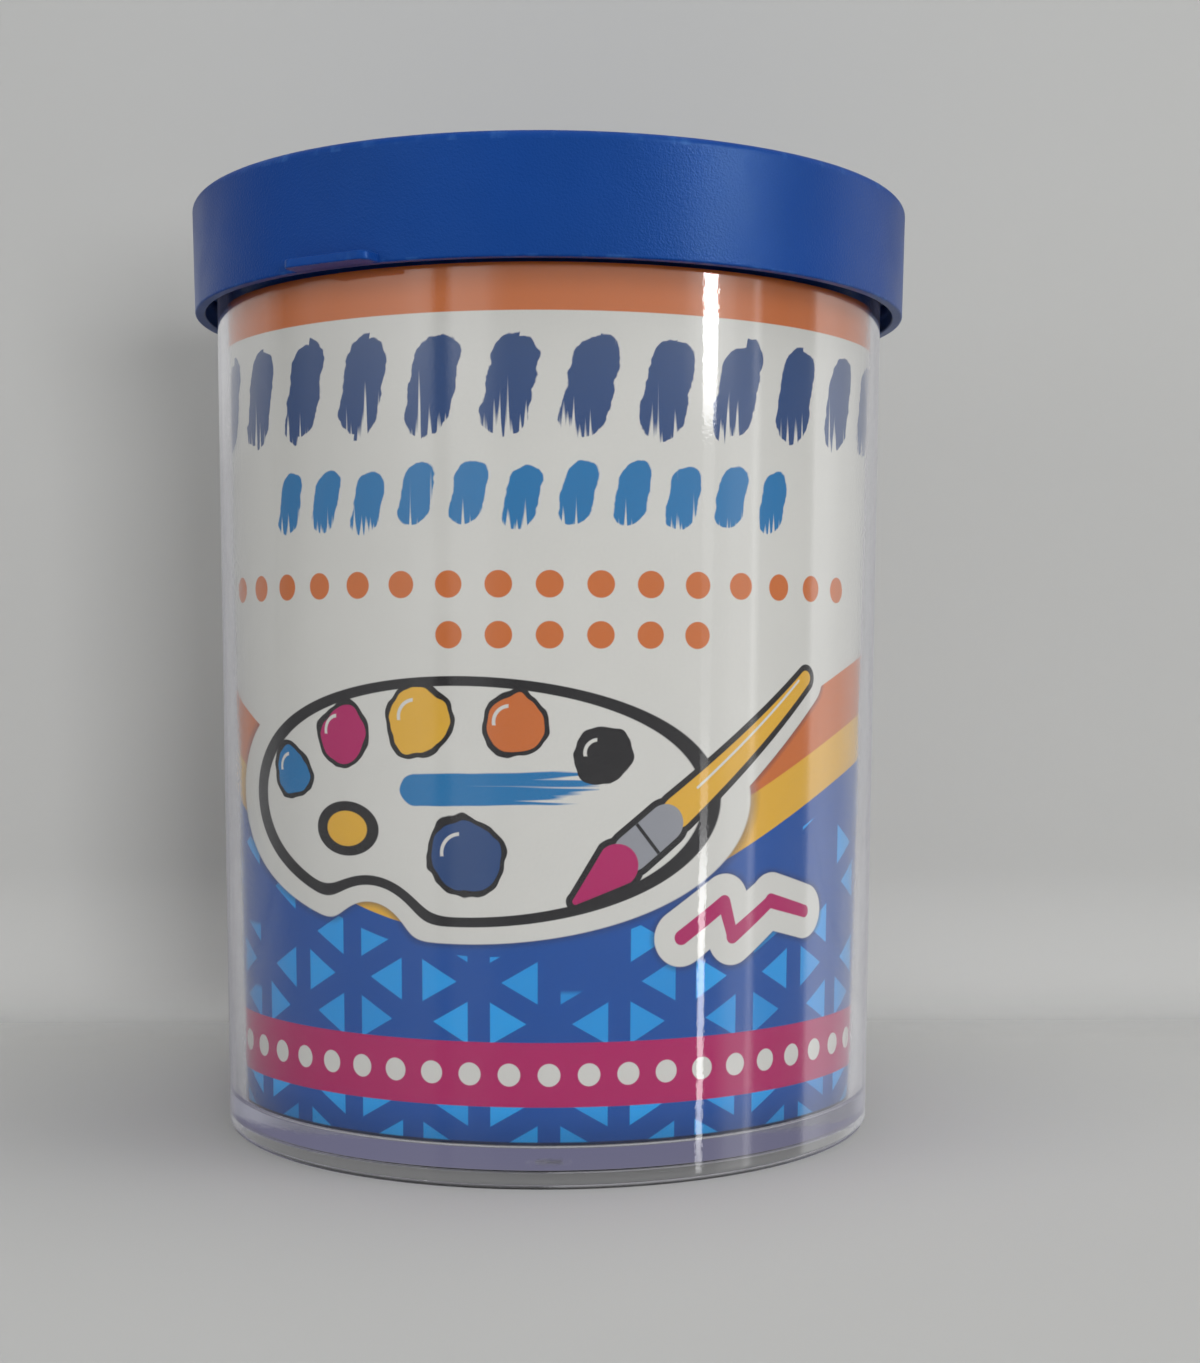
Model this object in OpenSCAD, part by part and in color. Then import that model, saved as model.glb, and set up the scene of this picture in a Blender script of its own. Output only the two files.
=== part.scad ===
// Paint cup with a printed paper sleeve, an inverted funnel lid and a tight snap-on cap.
// Sizes are in millimetres. The cup stands on z = 0 with its axis on Z, and its front faces -Y.

/* [Cup] */
// Height of the cup from the table to its rim
cup_h = 91.6; // [75:0.2:120]
// Outer diameter of the cup at the foot
cup_base_d = 67.2; // [60:0.2:69]
// Outer diameter of the cup at the rim, under the bead
cup_rim_d = 70.1; // [69.2:0.1:78]
// Wall thickness just above the floor
wall_base_t = 1.6; // [1:0.05:2.4]
// Wall thickness at the rim
wall_rim_t = 0.95; // [0.7:0.05:1.6]
// Thickness of the floor
floor_t = 2; // [1:0.1:4]
// Radius of the fillet between floor and wall, inside
floor_fillet_r = 0.5; // [0.2:0.1:0.6]
// Height of the foot ring, which keeps the floor off the table
foot_h = 1.6; // [0.8:0.1:4]
// Width of the foot ring
foot_w = 1.7; // [1.4:0.1:4]
// Radius of the rounded heel, where the wall meets the table
heel_r = 0.8; // [0.3:0.1:1]
// How far the bead at the rim stands proud of the wall
rim_bead = 0.1; // [0.05:0.05:0.6]
// Height of the bead at the rim
rim_bead_h = 1.8; // [1:0.1:2.5]
// Diameter of the gate mark under the floor
gate_d = 3; // [1:0.5:6]
// How far the gate mark stands down from the floor
gate_h = 0.4; // [0.1:0.1:0.7]

/* [Paper sleeve] */
// Thickness of the sleeve
paper_t = 0.3; // [0.15:0.05:0.5]
// Gap between the sleeve and the cup's wall
paper_gap = 0.15; // [0.05:0.05:0.4]
// Gap under the sleeve, above the floor and its fillet
paper_floor_gap = 0.15; // [0.1:0.05:1]
// Gap between the sleeve and the funnel above it
paper_top_gap = 1.9; // [0.2:0.1:3]
// Width of the overlap where the sleeve is closed at the back
paper_lap = 8; // [3:1:20]

/* [Inverted lid] */
// Thickness of the land that lies on the rim
land_t = 1.2; // [0.8:0.1:2]
// Radius of the land's outer edge
land_edge_r = 0.5; // [0.2:0.1:0.6]
// Thickness of the hook that hangs outside the rim
hook_t = 0.65; // [0.6:0.05:1.2]
// Gap between the rim's bead and the hook
hook_gap = 0.1; // [0.05:0.05:0.4]
// Depth of the plug wall below the rim
plug_h = 5; // [4:0.2:8]
// Thickness of the plug wall and the funnel
lid_wall_t = 1; // [0.7:0.1:1.4]
// Gap between the plug wall and the cup's wall
plug_gap = 0.15; // [0.1:0.05:0.4]
// Gap between the seal rings on a plug and the wall that they press on
seal_gap = 0.05; // [0.02:0.01:0.08]
// Height of one seal ring
seal_h = 0.8; // [0.6:0.1:1]
// Depth of the funnel's lip below the top of the land
funnel_h = 34.8; // [20:0.2:50]
// Diameter of the brush hole
hole_d = 26; // [16:0.5:40]
// Height of the straight neck round the brush hole
neck_h = 3; // [2.5:0.1:8]
// Radius of the rolled lip under the neck
lip_r = 0.9; // [0.8:0.05:1.1]
// Radius of the bend between plug wall and funnel
funnel_bend_r = 2.5; // [1:0.1:4]

/* [Cap] */
// Height of the cap from its lower edge to its top
cap_h = 11.2; // [9:0.2:16]
// Thickness of the cap's skirt at its lower edge
skirt_t = 1.05; // [0.8:0.05:1.6]
// How much further out the skirt is at the top than at its lower edge
skirt_draft = 0.3; // [0:0.05:0.6]
// Radius of the cap's top edge
cap_edge_r = 0.8; // [0.3:0.1:1]
// Thickness of the cap's top
cap_t = 1.4; // [1:0.1:2]
// Depth of the recessed panel on the top, in which another cup's foot can stand
panel_drop = 0.8; // [0.5:0.1:1.5]
// Width of the raised border round the panel
border_w = 3.5; // [3.2:0.1:4.5]
// Thickness of the riser between the panel and its border
riser_t = 1.4; // [1:0.1:1.9]
// Gap between the inverted lid's hook and the cap's snap beads
snap_gap = 0.1; // [0.05:0.05:0.4]
// How far the snap beads stand in from the skirt
snap_bead = 0.15; // [0.1:0.05:0.4]
// Height of the snap beads
snap_h = 1.2; // [0.6:0.1:1.6]
// Number of snap beads round the skirt
snap_count = 6; // [3:1:12]
// Length of each snap bead as an angle
snap_deg = 24; // [8:1:28]
// How far the cap's edge reaches below the hook
hook_inset = 2.6; // [2.2:0.1:4]
// Depth of the cap's sealing ring in the mouth of the inverted lid
ring_h = 3.4; // [2.4:0.1:4]
// Thickness of the cap's sealing ring
ring_t = 0.9; // [0.7:0.05:1.4]
// Gap between the cap's sealing ring and the mouth of the inverted lid
ring_gap = 0.15; // [0.1:0.05:0.4]

/* [Pry tab] */
// Width of the tab along the skirt
tab_w = 9.4; // [5:0.2:16]
// How far the tab stands out from the skirt
tab_out = 1.9; // [1:0.1:4]
// Thickness of the tab
tab_t = 0.8; // [0.5:0.1:1.5]
// Radius of the tab's outer corners
tab_corner_r = 0.9; // [0.3:0.1:1]
// Turn of the tab round the cup from the front, towards +X
tab_turn = -31.8; // [-180:0.2:180]

/* [Hidden] */
$fn = 96;
// Straight steps in each rounded corner of a profile
arc_steps = 6;
// Small radius that a mould leaves on an edge
soft_edge_r = 0.2;
// Radius of the inner corners under the foot and round the panel
inner_corner_r = 0.4;
// Draft of the foot ring's inner face and of the panel's rim
small_draft = 0.2;

floor_z = foot_h + floor_t;
land_z = cup_h + land_t;
cap_top_z = land_z + cap_t + panel_drop;
skirt_z = cap_top_z - cap_h;
hook_z = skirt_z + hook_inset;
plug_z = cup_h - plug_h;
lip_z = land_z - funnel_h;

// Outer radius of the cup at height z, and the straight bore inside it
function cup_r(z) = (cup_base_d + (cup_rim_d - cup_base_d) * z / cup_h) / 2;
bore_base_r = cup_r(floor_z) - wall_base_t;
bore_rim_r = cup_r(cup_h) - wall_rim_t;
function bore_r(z) = bore_base_r + (bore_rim_r - bore_base_r) * (z - floor_z) / (cup_h - floor_z);

// The stack of radii from the rim outwards: bead, hook, snap beads, skirt
bead_r = cup_r(cup_h) + rim_bead;
hook_in_r = bead_r + hook_gap;
hook_out_r = hook_in_r + hook_t;
snap_r = hook_out_r + snap_gap;
skirt_in_r = snap_r + snap_bead;
skirt_low_r = skirt_in_r + skirt_t;
cap_r = skirt_low_r + skirt_draft;

// The stack of radii from the bore inwards: plug, mouth, sealing ring
function plug_r(z) = bore_r(z) - plug_gap;
mouth_r = plug_r(plug_z) - lid_wall_t;
ring_r = mouth_r - ring_gap;
hole_r = hole_d / 2;
panel_r = cap_r - border_w;

// The funnel's lower surface is a line from the plug's foot to the neck
neck_r = hole_r + lid_wall_t;
neck_z = lip_z + neck_h;
funnel_slope = (plug_z - neck_z) / (plug_r(plug_z) - neck_r);
funnel_rise = lid_wall_t * sqrt(1 + funnel_slope * funnel_slope);
function funnel_low(r) = neck_z + funnel_slope * (r - neck_r);
function funnel_top(r) = funnel_low(r) + funnel_rise;

// Unit vector along v
function unit(v) = v / norm(v);

// One corner of an outline, rounded with the radius in its third number
function corner(before, at, after) =
    let (
        p = [at[0], at[1]],
        u = unit([before[0], before[1]] - p),
        v = unit([after[0], after[1]] - p),
        half = acos(u * v) / 2,
        centre = p + unit(u + v) * at[2] / sin(half),
        from = atan2(p[1] + u[1] * at[2] / tan(half) - centre[1], p[0] + u[0] * at[2] / tan(half) - centre[0]),
        to = atan2(p[1] + v[1] * at[2] / tan(half) - centre[1], p[0] + v[0] * at[2] / tan(half) - centre[0]),
        turn = to - from > 180 ? to - from - 360 : to - from < -180 ? to - from + 360 : to - from
    )
    [for (i = [0:arc_steps]) centre + at[2] * [cos(from + turn * i / arc_steps), sin(from + turn * i / arc_steps)]];

// A closed outline from points [x, y, corner radius]
function rounded(points) =
    let (n = len(points))
    [for (i = [0:n - 1])
        each points[i][2] == 0
            ? [[points[i][0], points[i][1]]]
            : corner(points[(i + n - 1) % n], points[i], points[(i + 1) % n])];

// A low ring on a wall, from z up to z + seal_h, that comes within seal_gap of the facing wall
function seal_ring(z, wall_r, facing_r) = [
    [wall_r, z + seal_h, 0],
    [facing_r - seal_gap, z + seal_h * 2 / 3, 0],
    [facing_r - seal_gap, z + seal_h / 3, 0],
    [wall_r, z, 0]
];

// Clear moulded cup: foot ring, floor, drafted wall and beaded rim in one turned section
module cup() {
    foot_in_r = cup_r(0) - foot_w;
    bead_z = cup_h - rim_bead_h;
    section = rounded([
        [0, foot_h, 0],
        [foot_in_r - small_draft, foot_h, inner_corner_r],
        [foot_in_r, 0, soft_edge_r],
        [cup_r(0), 0, heel_r],
        [cup_r(bead_z), bead_z, 0],
        [bead_r, bead_z + rim_bead, 0],
        [bead_r, cup_h, soft_edge_r],
        [bore_rim_r, cup_h, soft_edge_r],
        [bore_base_r, floor_z, floor_fillet_r],
        [0, floor_z, 0]
    ]);
    color([0.86, 0.89, 0.94, 0.35])
    union() {
        rotate_extrude() polygon(section);
        translate([0, 0, foot_h - gate_h]) cylinder(d = gate_d, h = gate_h + floor_t / 2);
    }
}

// Printed paper rolled into a sleeve that follows the bore, with a double layer at the back
module paper_insert() {
    over_fillet = max(0, floor_fillet_r - paper_gap);
    low_z = floor_z + floor_fillet_r - sqrt(pow(floor_fillet_r, 2) - pow(over_fillet, 2)) + paper_floor_gap;
    high_z = funnel_low(bore_r(plug_z) - paper_gap - 2 * paper_t) - paper_top_gap;
    lap_deg = paper_lap / bore_rim_r * 180 / PI;
    module layer(in_by, thick) {
        low_r = bore_r(low_z) - paper_gap - in_by;
        high_r = bore_r(high_z) - paper_gap - in_by;
        polygon([[low_r, low_z], [high_r, high_z], [high_r - thick, high_z], [low_r - thick, low_z]]);
    }
    color("whitesmoke")
    union() {
        rotate_extrude() layer(0, paper_t);
        rotate([0, 0, 90 - lap_deg / 2]) rotate_extrude(angle = lap_deg) layer(paper_t / 2, paper_t * 3 / 2);
    }
}

// Inverted lid: hook, land, plug with two seal rings, funnel, neck and rolled lip in one section
module inverted_lid() {
    ring_low_z = plug_z + seal_h;
    ring_high_z = cup_h - 2 * seal_h;
    section = rounded(concat(
        [
            [hook_in_r, hook_z, soft_edge_r],
            [hook_out_r, hook_z, soft_edge_r],
            [hook_out_r, land_z, land_edge_r],
            [mouth_r, land_z, inner_corner_r],
            [mouth_r, funnel_top(mouth_r), funnel_bend_r],
            [hole_r, funnel_top(hole_r), neck_h / 2],
            [hole_r, lip_z, lip_r * 0.9],
            [hole_r + 2 * lip_r, lip_z, lip_r * 0.9],
            [hole_r + 2 * lip_r, lip_z + 2 * lip_r, lip_r * 0.9],
            [neck_r, lip_z + 2 * lip_r, 0],
            [neck_r, neck_z, 0],
            [plug_r(plug_z), plug_z, soft_edge_r]
        ],
        [for (i = [3:-1:0]) seal_ring(ring_low_z, plug_r(ring_low_z), bore_r(ring_low_z))[i]],
        [for (i = [3:-1:0]) seal_ring(ring_high_z, plug_r(ring_high_z), bore_r(ring_high_z))[i]],
        [
            [plug_r(cup_h), cup_h, 0],
            [hook_in_r, cup_h, 0]
        ]
    ));
    color([0.16, 0.31, 0.66]) rotate_extrude() polygon(section);
}

// Tight cap: recessed panel, raised border, deep skirt, sealing ring, snap beads and pry tab
module cap() {
    seal_z = land_z - ring_h / 2 - seal_h / 2;
    border_z = cap_top_z - cap_t;
    riser_r = panel_r + riser_t;
    groove_corner_r = min(inner_corner_r, skirt_in_r - riser_r);
    section = rounded(concat(
        [
            [0, cap_top_z - panel_drop, 0],
            [panel_r, cap_top_z - panel_drop, inner_corner_r],
            [panel_r + small_draft, cap_top_z, soft_edge_r],
            [cap_r, cap_top_z, cap_edge_r],
            [skirt_low_r, skirt_z, soft_edge_r],
            [skirt_in_r, skirt_z, soft_edge_r],
            [skirt_in_r, border_z, groove_corner_r],
            [riser_r, border_z, 0],
            [riser_r, land_z, 0],
            [ring_r, land_z, 0]
        ],
        seal_ring(seal_z, ring_r, mouth_r),
        [
            [ring_r, land_z - ring_h, soft_edge_r],
            [ring_r - ring_t, land_z - ring_h, soft_edge_r],
            [ring_r - ring_t, land_z, 0],
            [0, land_z, 0]
        ]
    ));
    color([0.13, 0.28, 0.62])
    union() {
        rotate_extrude() polygon(section);
        snap_beads();
        pry_tab();
    }
}

// Snap beads inside the skirt, just under the inverted lid's hook
module snap_beads() {
    high_z = hook_z - snap_gap;
    for (i = [0:snap_count - 1])
        rotate([0, 0, i * 360 / snap_count - snap_deg / 2])
        rotate_extrude(angle = snap_deg)
        polygon([
            [skirt_in_r + skirt_t / 2, high_z],
            [skirt_in_r, high_z],
            [snap_r, high_z - snap_h / 3],
            [snap_r, high_z - snap_h * 2 / 3],
            [skirt_in_r, high_z - snap_h],
            [skirt_in_r + skirt_t / 2, high_z - snap_h]
        ]);
}

// Flat tab at the skirt's lower edge, under which a fingernail lifts the cap
module pry_tab() {
    root_y = skirt_in_r + skirt_t / 2;
    tip_y = skirt_low_r + tab_out;
    rotate([0, 0, tab_turn])
    translate([0, 0, skirt_z])
    linear_extrude(tab_t)
    polygon(rounded([
        [-tab_w / 2, -root_y, 0],
        [-tab_w / 2, -tip_y, tab_corner_r],
        [tab_w / 2, -tip_y, tab_corner_r],
        [tab_w / 2, -root_y, 0]
    ]));
}

cup();
paper_insert();
inverted_lid();
cap();
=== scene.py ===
import math

import bpy
import numpy as np
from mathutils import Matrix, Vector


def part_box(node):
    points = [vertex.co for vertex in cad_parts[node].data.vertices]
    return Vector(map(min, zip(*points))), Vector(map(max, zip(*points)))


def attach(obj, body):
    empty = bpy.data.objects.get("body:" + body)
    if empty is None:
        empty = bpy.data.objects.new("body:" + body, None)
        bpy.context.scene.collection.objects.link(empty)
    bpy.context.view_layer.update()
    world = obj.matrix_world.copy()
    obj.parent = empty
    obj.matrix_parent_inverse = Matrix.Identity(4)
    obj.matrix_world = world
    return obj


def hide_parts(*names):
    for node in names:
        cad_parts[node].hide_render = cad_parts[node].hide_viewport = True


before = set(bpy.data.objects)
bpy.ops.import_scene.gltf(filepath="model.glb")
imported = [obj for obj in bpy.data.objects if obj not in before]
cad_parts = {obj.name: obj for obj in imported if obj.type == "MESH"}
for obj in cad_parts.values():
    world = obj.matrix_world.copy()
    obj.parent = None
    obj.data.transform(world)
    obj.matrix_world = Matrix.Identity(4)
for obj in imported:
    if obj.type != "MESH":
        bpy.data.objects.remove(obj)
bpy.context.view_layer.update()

# Clear cup: one injection moulding in crystal polystyrene. It has a foot ring under a thick floor, a
# wall that opens and thins upwards by the draft of its mould, and a low bead round the rim that the
# inverted lid grips. Sizes in this file are in metres, apart from those of the print.
MM = 0.001
cup_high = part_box("cup")[1]
cup_top = cup_high.z
rim_bead = 0.1 * MM
rim_bead_h = 1.8 * MM
rim_r = cup_high.x - rim_bead
base_r = 33.6 * MM
foot_h = 1.6 * MM
foot_w = 1.7 * MM
foot_draft = 0.2 * MM
heel_r = 0.8 * MM
floor_z = 3.6 * MM
floor_fillet_r = 0.5 * MM
bore_low_r = 32.057 * MM
bore_rim_r = rim_r - 0.95 * MM
gate_r = 1.5 * MM
gate_h = 0.4 * MM
inner_corner_r = 0.4 * MM
soft_edge_r = 0.2 * MM

CLEAR = (0.955, 0.955, 0.985, 1)
CLEAR_DEPTH = (0.0, 0.05, 0.95, 1)
CLEAR_SHADOW = (0.95, 0.95, 0.955, 1)
# Colour of a painted glow that the clear plastic shows to rays mirrored in it four times
PAINTED_INNER_GLOW = (0.18, 0.175, 0.23, 1)
CLEAR_IOR = 1.56
clear_density = 2.7


def unit(v):
    """Each row of v at length one."""
    return v / np.linalg.norm(v, axis=-1, keepdims=True)


def outline(corners, closed=False, longest=2 * MM, hold=0.1 * MM, arc_steps=8):
    """Points along an outline whose corners are (x, y, radius). A corner with a radius becomes the arc
    that touches both its sides: centre + (sin((1 - t) w) a + sin(t w) b) / sin w, where a and b run
    from the centre to the two touching points and w is the angle between them. Each straight run gets
    a point close to either end, which keeps its shading flat, and others in even steps. The third
    column is 1 on the arcs and 0 on the runs."""
    stretches = []
    for i, (x, y, radius) in enumerate(corners):
        at = np.array([x, y])
        if radius == 0:
            stretches.append(at[None])
            continue
        back = unit(np.subtract(corners[i - 1][:2], at))
        on = unit(np.subtract(corners[(i + 1) % len(corners)][:2], at))
        half = math.acos(back @ on) / 2
        centre = at + unit(back + on) * radius / math.sin(half)
        a = at + back * radius / math.tan(half) - centre
        b = at + on * radius / math.tan(half) - centre
        turn = math.pi - 2 * half
        t = np.linspace(0, 1, arc_steps + 1)[:, None]
        stretches.append(centre + (np.sin((1 - t) * turn) * a + np.sin(t * turn) * b) / math.sin(turn))
    rows = []
    for i, arc in enumerate(stretches):
        rows.append(np.column_stack([arc, np.full(len(arc), float(len(arc) > 1))]))
        if i == len(stretches) - 1 and not closed:
            break
        start, end = arc[-1], stretches[(i + 1) % len(stretches)][0]
        length = np.linalg.norm(end - start)
        if length > 3 * hold:
            steps = max(1, math.ceil((length - 2 * hold) / longest))
            along = np.linspace(hold, length - hold, steps + 1)[:, None]
            run = start + along * (end - start) / length
            rows.append(np.column_stack([run, np.zeros(len(run))]))
    return np.concatenate(rows)


def turned(points, around=320):
    """The outline turned round Z: (r cos a, r sin a, z) on a grid of outline point by angle a."""
    a = np.arange(around) * 2 * np.pi / around
    r, z = points[:, :1], points[:, 1:2]
    return np.stack([r * np.cos(a), r * np.sin(a), z + 0 * a], -1)


def skin(grid, wear_and_sheen, closed=False):
    """The closed surface over a grid whose rows are rings: one face between neighbouring points. A
    first or last row that is a single place becomes one vertex, a pole. The faces are turned round
    where the volume that they enclose comes out negative. The second argument holds a number for
    each ring, for edge wear with a painted highlight mixed in."""
    rows, around = grid.shape[:2]
    number = np.arange(rows * around).reshape(rows, around)
    for end in (0, -1):
        if np.ptp(grid[end], axis=0).max() < 1e-9:
            number[end] = number[end, 0]
    low = number if closed else number[:-1]
    high = np.roll(number, -1, 0) if closed else number[1:]
    quads = np.stack([low, np.roll(low, -1, 1), np.roll(high, -1, 1), high], -1).reshape(-1, 4)
    first, last = quads[:, 0] == quads[:, 1], quads[:, 2] == quads[:, 3]
    thirds = np.concatenate([quads[first][:, 1:], quads[last][:, :3]])
    quads = quads[~(first | last)]
    used = np.unique(np.concatenate([quads.ravel(), thirds.ravel()]))
    points = grid.reshape(-1, 3)[used]
    quads, thirds = np.searchsorted(used, quads), np.searchsorted(used, thirds)
    fans = np.concatenate([quads[:, :3], quads[:, [0, 2, 3]], thirds])
    a, b, c = (points[fans[:, k]] for k in range(3))
    if (a * np.cross(b, c)).sum() < 0:
        quads, thirds = quads[:, ::-1], thirds[:, ::-1]
    return points, quads, thirds, np.repeat(wear_and_sheen, around)[used]


def moulding(name, skins, material):
    """One object from closed skins, smooth, with a float attribute on its vertices for edge wear and a
    painted highlight.
    """
    start, points, faces, wear_and_sheen = 0, [], [], []
    for part_points, quads, thirds, part_wear_and_sheen in skins:
        points.append(part_points)
        wear_and_sheen.append(part_wear_and_sheen)
        faces += (quads + start).tolist() + (thirds + start).tolist()
        start += len(part_points)
    mesh = bpy.data.meshes.new(name)
    mesh.from_pydata(np.concatenate(points), [], faces)
    mesh.attributes.new("wear_and_sheen", "FLOAT", "POINT").data.foreach_set("value", np.concatenate(wear_and_sheen))
    mesh.shade_smooth()
    mesh.materials.append(material)
    thing = bpy.data.objects.new(name, mesh)
    bpy.context.scene.collection.objects.link(thing)
    return thing


def node(tree, kind, inputs=None, **settings):
    """A new node. inputs names its sockets, each with a number, a colour or another node's socket."""
    made = tree.nodes.new(kind)
    for key, value in settings.items():
        setattr(made, key, value)
    for key, value in (inputs or {}).items():
        if isinstance(value, bpy.types.NodeSocket):
            tree.links.new(value, made.inputs[key])
        else:
            made.inputs[key].default_value = value
    return made


def grain(tree, size, detail=2, stretch=(1, 1, 1)):
    """Noise from 0 to 1 over the object, with features about size metres across."""
    place = node(tree, "ShaderNodeTexCoord").outputs["Object"]
    scaled = node(tree, "ShaderNodeMapping", {"Vector": place, "Scale": stretch}).outputs[0]
    inputs = {"Vector": scaled, "Scale": 1 / size, "Detail": detail}
    return node(tree, "ShaderNodeTexNoise", inputs).outputs["Fac"]


def ranged(tree, value, low, high, start=0.3, end=0.7):
    """value carried from start..end to low..high."""
    inputs = {"Value": value, "From Min": start, "From Max": end, "To Min": low, "To Max": high}
    return node(tree, "ShaderNodeMapRange", inputs).outputs[0]


def calculated(tree, operation, a, b, **settings):
    """The result of one Math node on two numbers."""
    return node(tree, "ShaderNodeMath", {0: a, 1: b}, operation=operation, **settings).outputs[0]


def bumped(tree, height, strength, depth, under=None):
    """A bump from height, depth metres high at strength 1, on top of another bump if one is given."""
    inputs = {"Height": height, "Strength": strength, "Distance": depth}
    if under is not None:
        inputs["Normal"] = under
    return node(tree, "ShaderNodeBump", inputs).outputs[0]


def either_shader(tree, share, first, second):
    """The first shader where share is 0 and the second where it is 1."""
    return node(tree, "ShaderNodeMixShader", {0: share, 1: first, 2: second}).outputs[0]


def new_material(name):
    """An empty node material and its output node."""
    material = bpy.data.materials.new(name)
    material.use_nodes = True
    material.node_tree.nodes.clear()
    return material, material.node_tree, node(material.node_tree, "ShaderNodeOutputMaterial")


def clear_plastic():
    """Glass-clear plastic with a violet depth, a little hazy where hands have worn it, with the faint
    unevenness of a moulding. Rays to the lamps and from matt surfaces pass straight through it, so
    that the paper inside is lit. A ray mirrored in it four times meets a painted glow of one mean tone."""
    material, tree, out = new_material("clear_plastic")
    dull = ranged(tree, grain(tree, 9 * MM, 3), 0.008, 0.03)
    waves = bumped(tree, grain(tree, 3 * MM, 1, (1, 1, 0.25)), 0.3, 0.02 * MM)
    fine = bumped(tree, grain(tree, 0.35 * MM, 1), 0.8, 0.003 * MM, waves)
    body = node(tree, "ShaderNodeBsdfPrincipled", {
        "Base Color": CLEAR, "IOR": CLEAR_IOR, "Transmission Weight": 1.0, "Roughness": dull,
        "Normal": fine}).outputs[0]
    path = node(tree, "ShaderNodeLightPath").outputs
    # A painted glow of one mean tone for rays mirrored four times, in place of the light they would
    # carry
    inner_glow_share = calculated(tree, "GREATER_THAN", path["Glossy Depth"], 3.5)
    painted_inner_glow = node(tree, "ShaderNodeEmission", {"Color": PAINTED_INNER_GLOW, "Strength": 1.0}).outputs[0]
    seen = either_shader(tree, inner_glow_share, body, painted_inner_glow)
    open_way = node(tree, "ShaderNodeBsdfTransparent", {"Color": CLEAR_SHADOW}).outputs[0]
    let_by = either_shader(tree, path["Is Diffuse Ray"], seen, open_way)
    lit = either_shader(tree, path["Is Shadow Ray"], let_by, open_way)
    tree.links.new(lit, out.inputs["Surface"])
    tint = node(tree, "ShaderNodeVolumeAbsorption", {"Color": CLEAR_DEPTH, "Density": clear_density})
    tree.links.new(tint.outputs[0], out.inputs["Volume"])
    return material


def cup_r(z):
    """Outer radius of the cup's wall at height z."""
    return base_r + (rim_r - base_r) * z / cup_top


def bore_r(z):
    """Radius of the cup's bore at height z."""
    return bore_low_r + (bore_rim_r - bore_low_r) * (z - floor_z) / (cup_top - floor_z)


bead_z = cup_top - rim_bead_h
cup_section = outline([
    (0, foot_h - gate_h, 0),
    (gate_r, foot_h - gate_h, soft_edge_r / 2),
    (gate_r, foot_h, 0),
    (base_r - foot_w - foot_draft, foot_h, inner_corner_r),
    (base_r - foot_w, 0, soft_edge_r),
    (base_r, 0, heel_r),
    (cup_r(bead_z), bead_z, 0),
    (cup_high.x, bead_z + rim_bead, 0),
    (cup_high.x, cup_top, soft_edge_r),
    (bore_rim_r, cup_top, soft_edge_r),
    (bore_low_r, floor_z, floor_fillet_r),
    (0, floor_z, 0),
])
cup = moulding("clear_cup", [skin(turned(cup_section), cup_section[:, 2])], clear_plastic())
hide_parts("cup")
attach(cup, "cup")

# Paper sleeve: a printed sheet rolled up and let go inside the cup, where it springs against the wall.
# Its two ends overlap at the back. The print is a generic paint-box design in flat inks: bands, waves
# and triangles, brush strokes, and a palette with a brush, set out twice round the cup.
paper_low, paper_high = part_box("paper_insert")
paper_t = 0.3 * MM
paper_gap = 0.15 * MM
paper_lap = 8 * MM
lap_play = 0.02 * MM
lap_ease = 6 * MM
sheet_r = 33.0 * MM
print_repeats = 2
# The print is measured in millimetres, and its heights are taken from the cup's foot
amber_drop, blue_drop = 5.8, 10.4
ribbon_z, ribbon_half, bead_step = 10.35, 2.95, 3.7
top_band_z = 79.6
drop_step, drop_r = 4.6, 1.25
painted_shade_z = 4.2

PAPER = (0.76, 0.753, 0.68, 1)
ORANGE = (0.68, 0.176, 0.037, 1)
AMBER = (0.86, 0.48, 0.045, 1)
BLUE = (0.006, 0.087, 0.375, 1)
PALE_BLUE = (0.022, 0.41, 0.92, 1)
MAGENTA = (0.50, 0.013, 0.135, 1)
NAVY = (0.024, 0.074, 0.215, 1)
SKY = (0.014, 0.20, 0.46, 1)
BLACK = (0.014, 0.013, 0.014, 1)
STEEL = (0.33, 0.34, 0.36, 1)
# A dark ink for the emblem's printed drop shadow, also laid as painted shade at the sheet's lower edge
SHADOW_INK_AND_PAINTED_SHADE = (0.02, 0.03, 0.08, 1)
BACK = (0.76, 0.75, 0.72, 1)
BACK_CLOUDY = (0.70, 0.69, 0.65, 1)


def eased(t):
    """3 t^2 - 2 t^3, held between 0 and 1."""
    t = np.clip(t, 0, 1)
    return t * t * (3 - 2 * t)


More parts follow.
